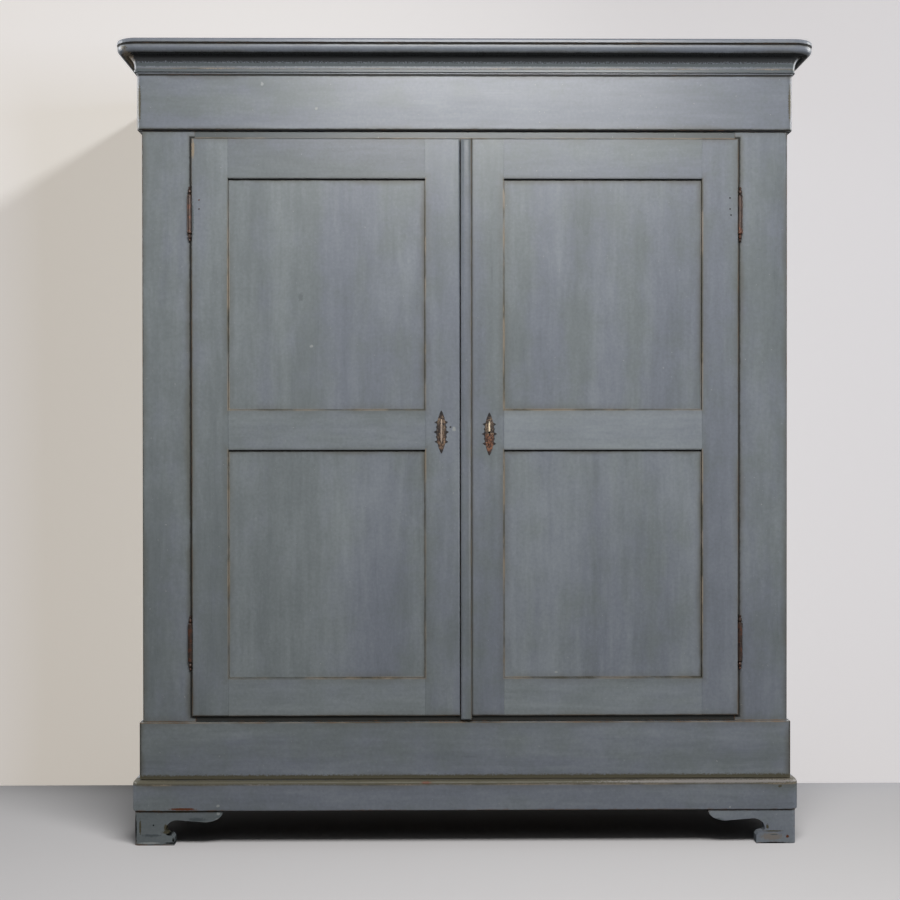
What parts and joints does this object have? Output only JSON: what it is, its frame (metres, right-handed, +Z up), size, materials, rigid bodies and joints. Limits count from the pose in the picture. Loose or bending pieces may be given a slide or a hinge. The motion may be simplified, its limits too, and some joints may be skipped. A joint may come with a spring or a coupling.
{
  "type": "cupboard",
  "caption": "Free-standing painted wooden cupboard with framed and panelled doors, moulded cornice, plinth, bracket feet and shelves inside.",
  "frame": {"origin": "on the floor, under the middle of the cupboard's bounding box", "axes": "+Z up, +Y towards the back, +X to the right seen from the front, so the doors face -Y"},
  "size_m": [1.7346, 0.619, 2],
  "materials": {
    "paint": "satin blue-grey brushed paint, worn along the edges",
    "bare_wood": "unpainted aged softwood",
    "iron": "dark rusted wrought iron",
    "brass": "aged, tarnished brass"
  },
  "bodies": {
    "cupboard": {"back_panel": "bare_wood", "base_front": "paint", "base_left": "paint", "base_right": "paint", "ceiling_panel": "bare_wood", "crown_front": "paint", "crown_left": "paint", "crown_right": "paint", "floor_panel": "bare_wood", "foot_back_left": "paint", "foot_back_right": "paint", "foot_front_left": "paint", "foot_front_right": "paint", "frieze_front": "paint", "frieze_left": "paint", "frieze_right": "paint", "head_rail": "paint", "left_lower_hinge_frame": "iron", "left_pilaster": "paint", "left_side": "paint", "left_upper_hinge_frame": "iron", "plinth_front": "paint", "plinth_left": "paint", "plinth_right": "paint", "right_lower_hinge_frame": "iron", "right_pilaster": "paint", "right_side": "paint", "right_upper_hinge_frame": "iron", "shelf_lower": "bare_wood", "shelf_middle": "bare_wood", "shelf_upper": "bare_wood", "sill_rail": "paint", "top_board": "paint"},
    "left_door": {"left_bottom_rail": "paint", "left_escutcheon": "brass", "left_hinge_stile": "paint", "left_lower_hinge_door": "iron", "left_lower_panel": "paint", "left_meeting_stile": "paint", "left_mid_rail": "paint", "left_top_rail": "paint", "left_upper_hinge_door": "iron", "left_upper_panel": "paint", "top_bolt_case": "iron", "bottom_bolt_case": "iron"},
    "right_door": {"right_bottom_rail": "paint", "right_escutcheon": "brass", "right_hinge_stile": "paint", "right_lower_hinge_door": "iron", "right_lower_panel": "paint", "right_meeting_stile": "paint", "right_mid_rail": "paint", "right_top_rail": "paint", "right_upper_hinge_door": "iron", "right_upper_panel": "paint", "astragal": "paint", "lock_case": "iron"},
    "lock_bolt": {"lock_bolt": "brass"},
    "top_bolt": {"top_bolt_rod": "iron"},
    "bottom_bolt": {"bottom_bolt_rod": "iron"}
  },
  "joints": [
    {"name": "left_door_hinge", "type": "hinge", "parent": "cupboard", "child": "left_door", "pos_m": [-0.68825, -0.2571, 1.04], "axis": [0, 0, -1], "range_deg": [0, 165]},
    {"name": "right_door_hinge", "type": "hinge", "parent": "cupboard", "child": "right_door", "pos_m": [0.68825, -0.2571, 1.04], "axis": [0, 0, 1], "range_deg": [0, 165]},
    {"name": "lock_bolt_slide", "type": "slide", "parent": "right_door", "child": "lock_bolt", "axis": [-1, 0, 0], "range_m": [0, 0.012]},
    {"name": "top_bolt_slide", "type": "slide", "parent": "left_door", "child": "top_bolt", "axis": [0, 0, 1], "range_m": [0, 0.018]},
    {"name": "bottom_bolt_slide", "type": "slide", "parent": "left_door", "child": "bottom_bolt", "axis": [0, 0, -1], "range_m": [0, 0.018]}
  ]
}
